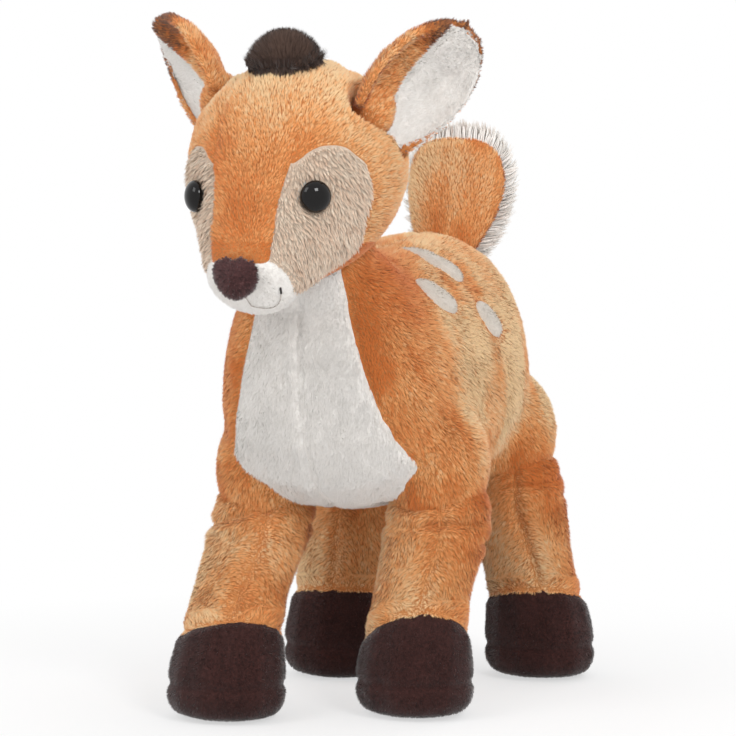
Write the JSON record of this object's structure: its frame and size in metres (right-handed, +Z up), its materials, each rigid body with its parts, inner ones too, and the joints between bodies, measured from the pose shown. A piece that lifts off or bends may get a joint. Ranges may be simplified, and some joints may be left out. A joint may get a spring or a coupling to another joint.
{
  "type": "plush fawn",
  "caption": "Standing stuffed fawn in orange and white plush, with a head that nods and turns, folding ears, a bending tail and legs that swing at the body.",
  "frame": {"origin": "on the ground under the middle of the whole fawn", "axes": "+Z up, the fawn faces -Y, +X is its left side"},
  "size_m": [0.1427, 0.2262, 0.2803],
  "materials": {
    "orange_plush": "plush pile",
    "white_plush": "plush pile",
    "taupe_plush": "plush pile",
    "brown_short_pile": "short pile",
    "dark_long_pile": "long pile",
    "spot_plush": "short pile",
    "polyester_fibre": "loose fibre",
    "black_gloss_plastic": "gloss",
    "washer_plastic": "matt",
    "mouth_thread": "thread"
  },
  "bodies": {
    "torso": {"torso_fill": "polyester_fibre", "flank_left": "orange_plush", "flank_right": "orange_plush", "bib_left": "white_plush", "bib_right": "white_plush", "belly_gusset": "white_plush", "spot_left_upper": "spot_plush", "spot_left_front": "spot_plush", "spot_left_rear": "spot_plush", "spot_right_upper": "spot_plush", "spot_right_front": "spot_plush", "spot_right_rear": "spot_plush"},
    "neck": {"neck_fill": "polyester_fibre"},
    "head": {"head_fill": "polyester_fibre", "forehead_gusset": "orange_plush", "head_side_left": "orange_plush", "head_side_right": "orange_plush", "eye_patch_left": "taupe_plush", "eye_patch_right": "taupe_plush", "muzzle": "white_plush", "nose": "brown_short_pile", "mouth_stitches": "mouth_thread", "eye_left": "black_gloss_plastic", "eye_right": "black_gloss_plastic", "eye_washer_left": "washer_plastic", "eye_washer_right": "washer_plastic", "tuft": "dark_long_pile"},
    "ear_left": {"ear_back_left": "orange_plush", "ear_lining_left": "white_plush"},
    "ear_right": {"ear_back_right": "orange_plush", "ear_lining_right": "white_plush"},
    "tail": {"tail_front": "orange_plush", "tail_back": "white_plush", "tail_fill": "polyester_fibre"},
    "leg_front_left": {"leg_front_left_outer": "orange_plush", "leg_front_left_inner": "orange_plush", "hoof_front_left": "brown_short_pile", "sole_front_left": "brown_short_pile", "leg_fill_front_left": "polyester_fibre"},
    "leg_front_right": {"leg_front_right_outer": "orange_plush", "leg_front_right_inner": "orange_plush", "hoof_front_right": "brown_short_pile", "sole_front_right": "brown_short_pile", "leg_fill_front_right": "polyester_fibre"},
    "leg_back_left": {"leg_back_left_outer": "orange_plush", "leg_back_left_inner": "orange_plush", "hoof_back_left": "brown_short_pile", "sole_back_left": "brown_short_pile", "leg_fill_back_left": "polyester_fibre"},
    "leg_back_right": {"leg_back_right_outer": "orange_plush", "leg_back_right_inner": "orange_plush", "hoof_back_right": "brown_short_pile", "sole_back_right": "brown_short_pile", "leg_fill_back_right": "polyester_fibre"}
  },
  "joints": [
    {"name": "neck_nod", "type": "hinge", "parent": "torso", "child": "neck", "pos_m": [0, -0.04403, 0.1819], "axis": [1, 0, 0], "range_deg": [-6, 6], "stiffness_Nm_per_rad": 1.5},
    {"name": "head_turn", "type": "hinge", "parent": "neck", "child": "head", "pos_m": [0, -0.04403, 0.1819], "axis": [0, 0, 1], "range_deg": [-15, 15], "stiffness_Nm_per_rad": 1.5},
    {"name": "ear_left_fold", "type": "hinge", "parent": "head", "child": "ear_left", "pos_m": [0.03915, -0.05844, 0.23442], "axis": [-0.2374, -0.774, 0.587], "range_deg": [-20, 20], "stiffness_Nm_per_rad": 0.02},
    {"name": "ear_right_fold", "type": "hinge", "parent": "head", "child": "ear_right", "pos_m": [-0.04002, -0.05844, 0.24014], "axis": [-0.38, 0.6247, -0.6822], "range_deg": [-20, 20], "stiffness_Nm_per_rad": 0.02},
    {"name": "tail_bend", "type": "hinge", "parent": "torso", "child": "tail", "pos_m": [0, 0.08507, 0.17635], "axis": [1, 0, 0], "range_deg": [-20, 15], "stiffness_Nm_per_rad": 0.08},
    {"name": "leg_front_left_swing", "type": "hinge", "parent": "torso", "child": "leg_front_left", "pos_m": [0.03648, -0.01134, 0.082], "axis": [1, 0, 0], "range_deg": [-12, 12], "stiffness_Nm_per_rad": 1},
    {"name": "leg_front_right_swing", "type": "hinge", "parent": "torso", "child": "leg_front_right", "pos_m": [-0.03648, -0.01934, 0.082], "axis": [1, 0, 0], "range_deg": [-12, 12], "stiffness_Nm_per_rad": 1},
    {"name": "leg_back_left_swing", "type": "hinge", "parent": "torso", "child": "leg_back_left", "pos_m": [0.03648, 0.07397, 0.086], "axis": [1, 0, 0], "range_deg": [-12, 12], "stiffness_Nm_per_rad": 1},
    {"name": "leg_back_right_swing", "type": "hinge", "parent": "torso", "child": "leg_back_right", "pos_m": [-0.03648, 0.06598, 0.086], "axis": [1, 0, 0], "range_deg": [-12, 12], "stiffness_Nm_per_rad": 1}
  ]
}
